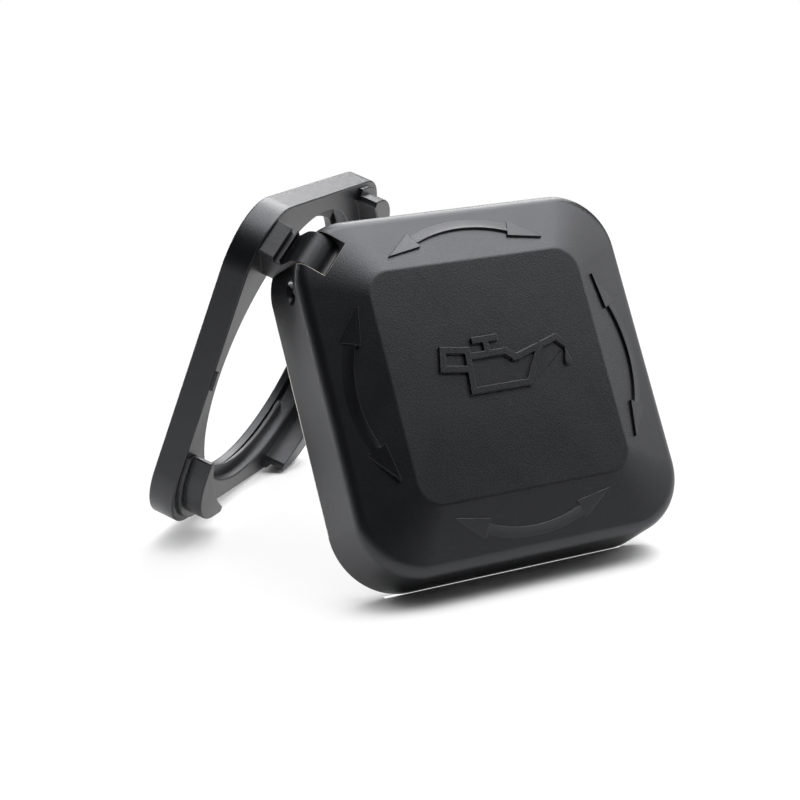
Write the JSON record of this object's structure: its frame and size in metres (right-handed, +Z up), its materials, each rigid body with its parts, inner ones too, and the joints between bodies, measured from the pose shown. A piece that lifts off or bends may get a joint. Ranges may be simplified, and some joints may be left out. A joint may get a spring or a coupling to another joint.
{
  "type": "oil filler cap",
  "caption": "Square dished flip lid hinged at one corner on a square collar frame that fits over an oil filler neck.",
  "frame": {"origin": "on the floor, under the middle of the bounding box, with the cap standing half open as in the picture", "axes": "+Z up, +X along the lid's lower edge towards its free side, -Y the way the lid's outer face leans and looks"},
  "size_m": [0.1312, 0.14, 0.0981],
  "materials": {
    "black_plastic": "fine moulded grain, satin",
    "pin_steel": "plain drawn wire"
  },
  "bodies": {
    "frame": {"frame": "black_plastic"},
    "lid": {"lid": "black_plastic", "hinge_pin": "pin_steel"}
  },
  "joints": [
    {"name": "lid_hinge", "type": "hinge", "parent": "frame", "child": "lid", "pos_m": [-0.02485, -0.0212, 0.08405], "axis": [-0.7071, -0.355, -0.6115], "range_deg": [-65.2, 114.8]}
  ]
}
